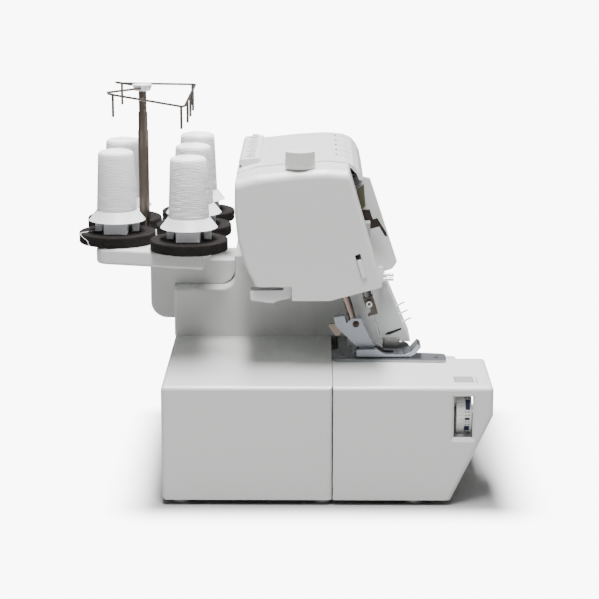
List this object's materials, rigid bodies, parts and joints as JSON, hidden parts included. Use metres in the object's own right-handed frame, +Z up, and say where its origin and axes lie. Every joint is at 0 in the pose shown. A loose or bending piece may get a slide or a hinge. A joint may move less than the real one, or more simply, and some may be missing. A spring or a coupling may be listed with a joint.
{
  "type": "serger overlock machine",
  "caption": "Table-top serger with a leaning head, swing-out side cover, fold-down looper cover, tension dials, and a rear tray of thread cones under a telescoping guide tree.",
  "frame": {"origin": "on the table under the middle of the machine's overall footprint, handwheel and thread cone discs included", "axes": "+X to the operator's right (the handwheel side), +Y to the rear (the thread stand), +Z up"},
  "size_m": [0.3, 0.372, 0.352],
  "materials": {
    "casing_plastic": "satin",
    "panel_plastic": "satin",
    "tray_plastic": "matte",
    "foot_rubber": "matte",
    "frame_casting": "matte",
    "plate_steel": "satin",
    "screw_steel": "satin",
    "tool_steel": "satin",
    "bar_chrome": "gloss",
    "foot_steel": "satin",
    "lever_plastic": "satin",
    "knob_plastic": "satin",
    "dial_plastic": "satin",
    "motor_steel": "matte",
    "pulley_plastic": "matte",
    "belt_rubber": "matte",
    "inlet_plastic": "matte",
    "disc_foam": "matte",
    "holder_plastic": "satin",
    "thread_white": "matte",
    "mast_metal": "satin"
  },
  "bodies": {
    "machine": {"machine_frame": "frame_casting", "bottom_tray": "tray_plastic", "rubber_feet": "foot_rubber", "base_cover": "casing_plastic", "column_cover": "casing_plastic", "head_end_cover": "casing_plastic", "tension_cover": "casing_plastic", "front_panel": "casing_plastic", "needle_side_panel": "panel_plastic", "take_up_guard": "casing_plastic", "right_end_cover": "casing_plastic", "needle_plate": "plate_steel", "machine_screws": "screw_steel", "lower_knife": "tool_steel", "thread_guide_block": "casing_plastic", "thread_guides": "bar_chrome", "take_up_bracket": "foot_steel", "motor": "motor_steel", "drive_belt": "belt_rubber", "power_inlet": "inlet_plastic", "spool_bracket": "casing_plastic", "spool_tray": "casing_plastic", "foam_discs": "disc_foam", "mast_outer_tube": "mast_metal", "cone_holders": "holder_plastic", "thread_cones": "thread_white"},
    "side_cover": {"side_cover": "casing_plastic"},
    "cover_slide": {"cover_hinge_rod": "tool_steel"},
    "looper_cover": {"looper_cover": "casing_plastic"},
    "drive_shaft": {"main_shaft": "tool_steel", "shaft_pulley": "pulley_plastic", "handwheel": "dial_plastic"},
    "motor_rotor": {"motor_pulley": "pulley_plastic"},
    "needle_drive": {"needle_bar": "bar_chrome", "needle_clamp": "tool_steel", "needles": "bar_chrome"},
    "presser": {"presser_bar": "bar_chrome", "foot_ankle": "foot_steel"},
    "foot": {"presser_foot": "foot_steel"},
    "foot_release": {"ankle_release_lever": "tool_steel"},
    "foot_lifter": {"presser_lifter": "lever_plastic"},
    "pressure_knob": {"pressure_knob": "knob_plastic"},
    "tension_dial_1": {"tension_dial_1": "dial_plastic"},
    "tension_dial_2": {"tension_dial_2": "dial_plastic"},
    "tension_dial_3": {"tension_dial_3": "dial_plastic"},
    "tension_dial_4": {"tension_dial_4": "dial_plastic"},
    "tension_dial_5": {"tension_dial_5": "dial_plastic"},
    "stitch_length_dial": {"stitch_length_dial": "dial_plastic"},
    "differential_lever": {"differential_lever": "lever_plastic"},
    "tension_release_button": {"tension_release_button": "lever_plastic"},
    "take_up_lever": {"take_up_lever": "tool_steel"},
    "lower_looper": {"lower_looper": "tool_steel"},
    "upper_looper": {"upper_looper": "tool_steel"},
    "feed_dogs": {"feed_dogs": "tool_steel"},
    "upper_knife": {"upper_knife": "tool_steel"},
    "mast_middle": {"mast_middle_tube": "mast_metal"},
    "mast_top": {"mast_top_rod": "mast_metal", "mast_cap": "holder_plastic", "guide_tree": "bar_chrome"},
    "power_switch": {"power_switch": "inlet_plastic"}
  },
  "joints": [
    {"name": "side_cover_swing", "type": "hinge", "parent": "machine", "child": "side_cover", "pos_m": [-0.15, -0.0463, 0.06], "axis": [0, 0, -1], "range_deg": [0, 75]},
    {"name": "looper_cover_release", "type": "slide", "parent": "machine", "child": "cover_slide", "axis": [1, 0, 0], "range_m": [0, 0.006], "stiffness_N_per_m": 300},
    {"name": "looper_cover_drop", "type": "hinge", "parent": "cover_slide", "child": "looper_cover", "pos_m": [0.03, -0.142, 0.0115], "axis": [1, 0, 0], "range_deg": [0, 65]},
    {"name": "handwheel_turn", "type": "hinge", "parent": "machine", "child": "drive_shaft", "pos_m": [0.03, 0.004, 0.088], "axis": [1, 0, 0], "continuous": true},
    {"name": "motor_turn", "type": "hinge", "parent": "machine", "child": "motor_rotor", "pos_m": [0.09, 0.059, 0.05], "axis": [1, 0, 0], "continuous": true},
    {"name": "needle_bar_travel", "type": "slide", "parent": "machine", "child": "needle_drive", "axis": [0, -0.284, -0.9588], "range_m": [-0.004, 0.025]},
    {"name": "presser_bar_lift", "type": "slide", "parent": "machine", "child": "presser", "axis": [0, 0.284, 0.9588], "range_m": [0, 0.005]},
    {"name": "foot_pitch", "type": "hinge", "parent": "presser", "child": "foot", "pos_m": [-0.05, -0.081, 0.1163], "axis": [1, 0, 0], "range_deg": [-2.5, 0]},
    {"name": "foot_release_press", "type": "hinge", "parent": "presser", "child": "foot_release", "pos_m": [-0.044, -0.056, 0.136], "axis": [1, 0, 0], "range_deg": [0, 12], "stiffness_Nm_per_rad": 0.02},
    {"name": "foot_lifter_turn", "type": "hinge", "parent": "machine", "child": "foot_lifter", "pos_m": [-0.07, -0.014, 0.1965], "axis": [1, 0, 0], "range_deg": [0, 20]},
    {"name": "pressure_knob_turn", "type": "hinge", "parent": "machine", "child": "pressure_knob", "pos_m": [-0.087, -0.017, 0.295], "axis": [0, 0, 1], "range_deg": [-360, 360]},
    {"name": "tension_dial_1_turn", "type": "hinge", "parent": "machine", "child": "tension_dial_1", "pos_m": [-0.013, -0.0695, 0.23894], "axis": [1, 0, 0], "range_deg": [-150, 150]},
    {"name": "tension_dial_2_turn", "type": "hinge", "parent": "machine", "child": "tension_dial_2", "pos_m": [0.0165, -0.0695, 0.23894], "axis": [1, 0, 0], "range_deg": [-150, 150]},
    {"name": "tension_dial_3_turn", "type": "hinge", "parent": "machine", "child": "tension_dial_3", "pos_m": [0.046, -0.0695, 0.23894], "axis": [1, 0, 0], "range_deg": [-150, 150]},
    {"name": "tension_dial_4_turn", "type": "hinge", "parent": "machine", "child": "tension_dial_4", "pos_m": [0.0755, -0.0695, 0.23894], "axis": [1, 0, 0], "range_deg": [-150, 150]},
    {"name": "tension_dial_5_turn", "type": "hinge", "parent": "machine", "child": "tension_dial_5", "pos_m": [0.105, -0.0695, 0.23894], "axis": [1, 0, 0], "range_deg": [-150, 150]},
    {"name": "stitch_length_turn", "type": "hinge", "parent": "machine", "child": "stitch_length_dial", "pos_m": [-0.125, -0.161, 0.0811], "axis": [0, 1, 0], "range_deg": [-120, 120]},
    {"name": "differential_turn", "type": "hinge", "parent": "machine", "child": "differential_lever", "pos_m": [0.116, -0.051, 0.1365], "axis": [1, 0, 0], "range_deg": [-25, 25]},
    {"name": "tension_release_slide", "type": "slide", "parent": "machine", "child": "tension_release_button", "axis": [0, 0.284, 0.9588], "range_m": [0, 0.005]},
    {"name": "take_up_swing", "type": "hinge", "parent": "machine", "child": "take_up_lever", "pos_m": [-0.035, -0.053, 0.2345], "axis": [1, 0, 0], "range_deg": [-12, 12]},
    {"name": "lower_looper_swing", "type": "hinge", "parent": "machine", "child": "lower_looper", "pos_m": [-0.036, -0.086, 0.055], "axis": [0, -1, 0], "range_deg": [0, 12]},
    {"name": "upper_looper_swing", "type": "hinge", "parent": "machine", "child": "upper_looper", "pos_m": [-0.008, -0.078, 0.058], "axis": [0, -1, 0], "range_deg": [-6, 8]},
    {"name": "feed_dog_travel", "type": "slide", "parent": "machine", "child": "feed_dogs", "axis": [0, 1, 0], "range_m": [-0.002, 0.002]},
    {"name": "upper_knife_travel", "type": "slide", "parent": "machine", "child": "upper_knife", "axis": [0, 0, 1], "range_m": [-0.005, 0.003]},
    {"name": "mast_middle_pull", "type": "slide", "parent": "machine", "child": "mast_middle", "axis": [0, 0, 1], "range_m": [0, 0.085]},
    {"name": "mast_top_pull", "type": "slide", "parent": "mast_middle", "child": "mast_top", "axis": [0, 0, 1], "range_m": [0, 0.088]},
    {"name": "power_switch_rock", "type": "hinge", "parent": "machine", "child": "power_switch", "pos_m": [0.116, 0.0295, 0.0385], "axis": [0, 0, 1], "range_deg": [-8, 8]}
  ],
  "couplings": [
    {"joint": "motor_turn", "follows": "handwheel_turn", "ratio": 3.25},
    {"joint": "foot_lifter_turn", "follows": "presser_bar_lift", "rad_per_m": 69.8}
  ]
}
